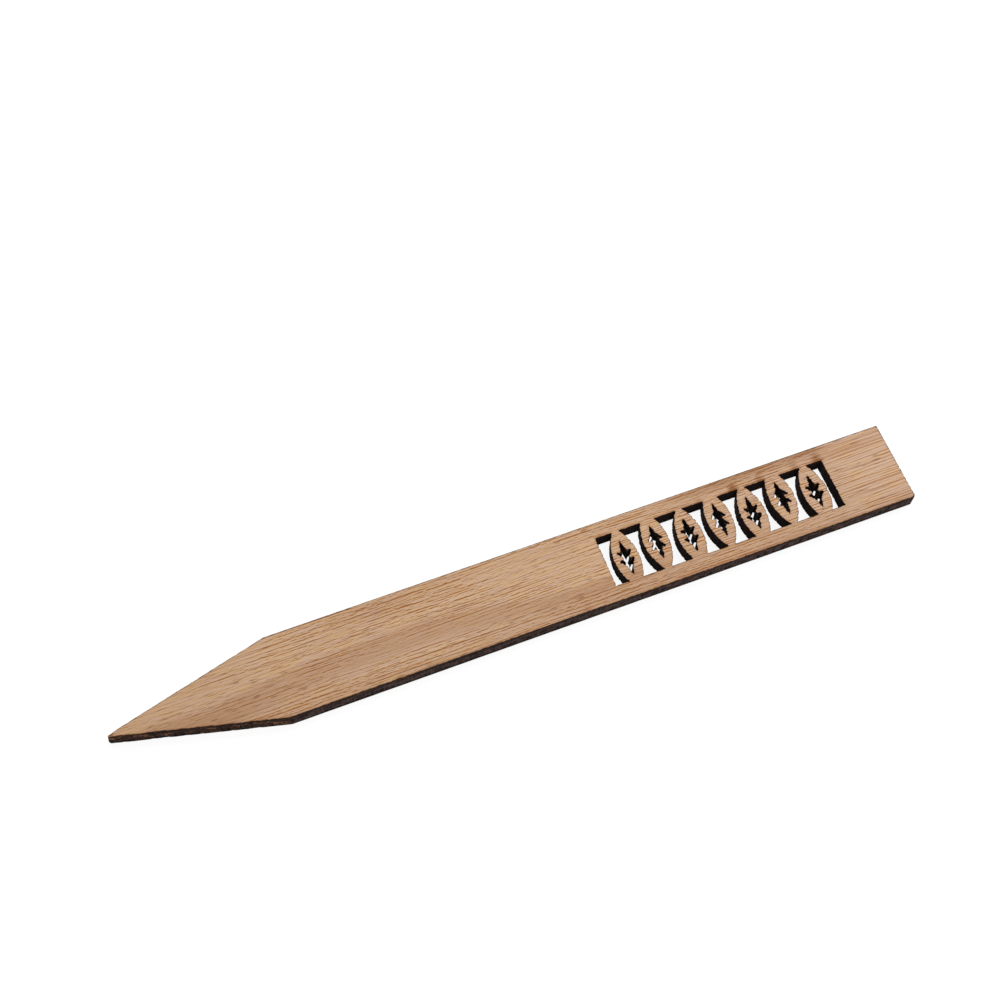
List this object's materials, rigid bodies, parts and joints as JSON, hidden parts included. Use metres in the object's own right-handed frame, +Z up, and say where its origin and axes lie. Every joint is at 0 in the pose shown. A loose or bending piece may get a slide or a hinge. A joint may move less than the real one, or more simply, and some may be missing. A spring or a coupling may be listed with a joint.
{
  "type": "plant label stake",
  "caption": "Flat laser-cut wooden plant label stake with a straight-sided point and a fretwork band of leaves, pushed into soil to mark a plant.",
  "frame": {"origin": "middle of the length and the width, on the back face that the stake lies on", "axes": "+X along the stake from the tip to the square end, +Y across the width, +Z up out of the oak face"},
  "size_m": [0.1906, 0.02, 0.0042],
  "materials": {
    "oak_veneer": "bare sanded oak veneer, burnt dark on the laser-cut edges",
    "core_wood": "cross-grain core, seen only as charred laser-cut edges",
    "glue": "thin cured glue line, charred where it was cut"
  },
  "bodies": {
    "root": {"face_veneer": "oak_veneer", "face_glue_line": "glue", "core_ply": "core_wood", "back_glue_line": "glue", "back_veneer": "oak_veneer"}
  },
  "joints": []
}
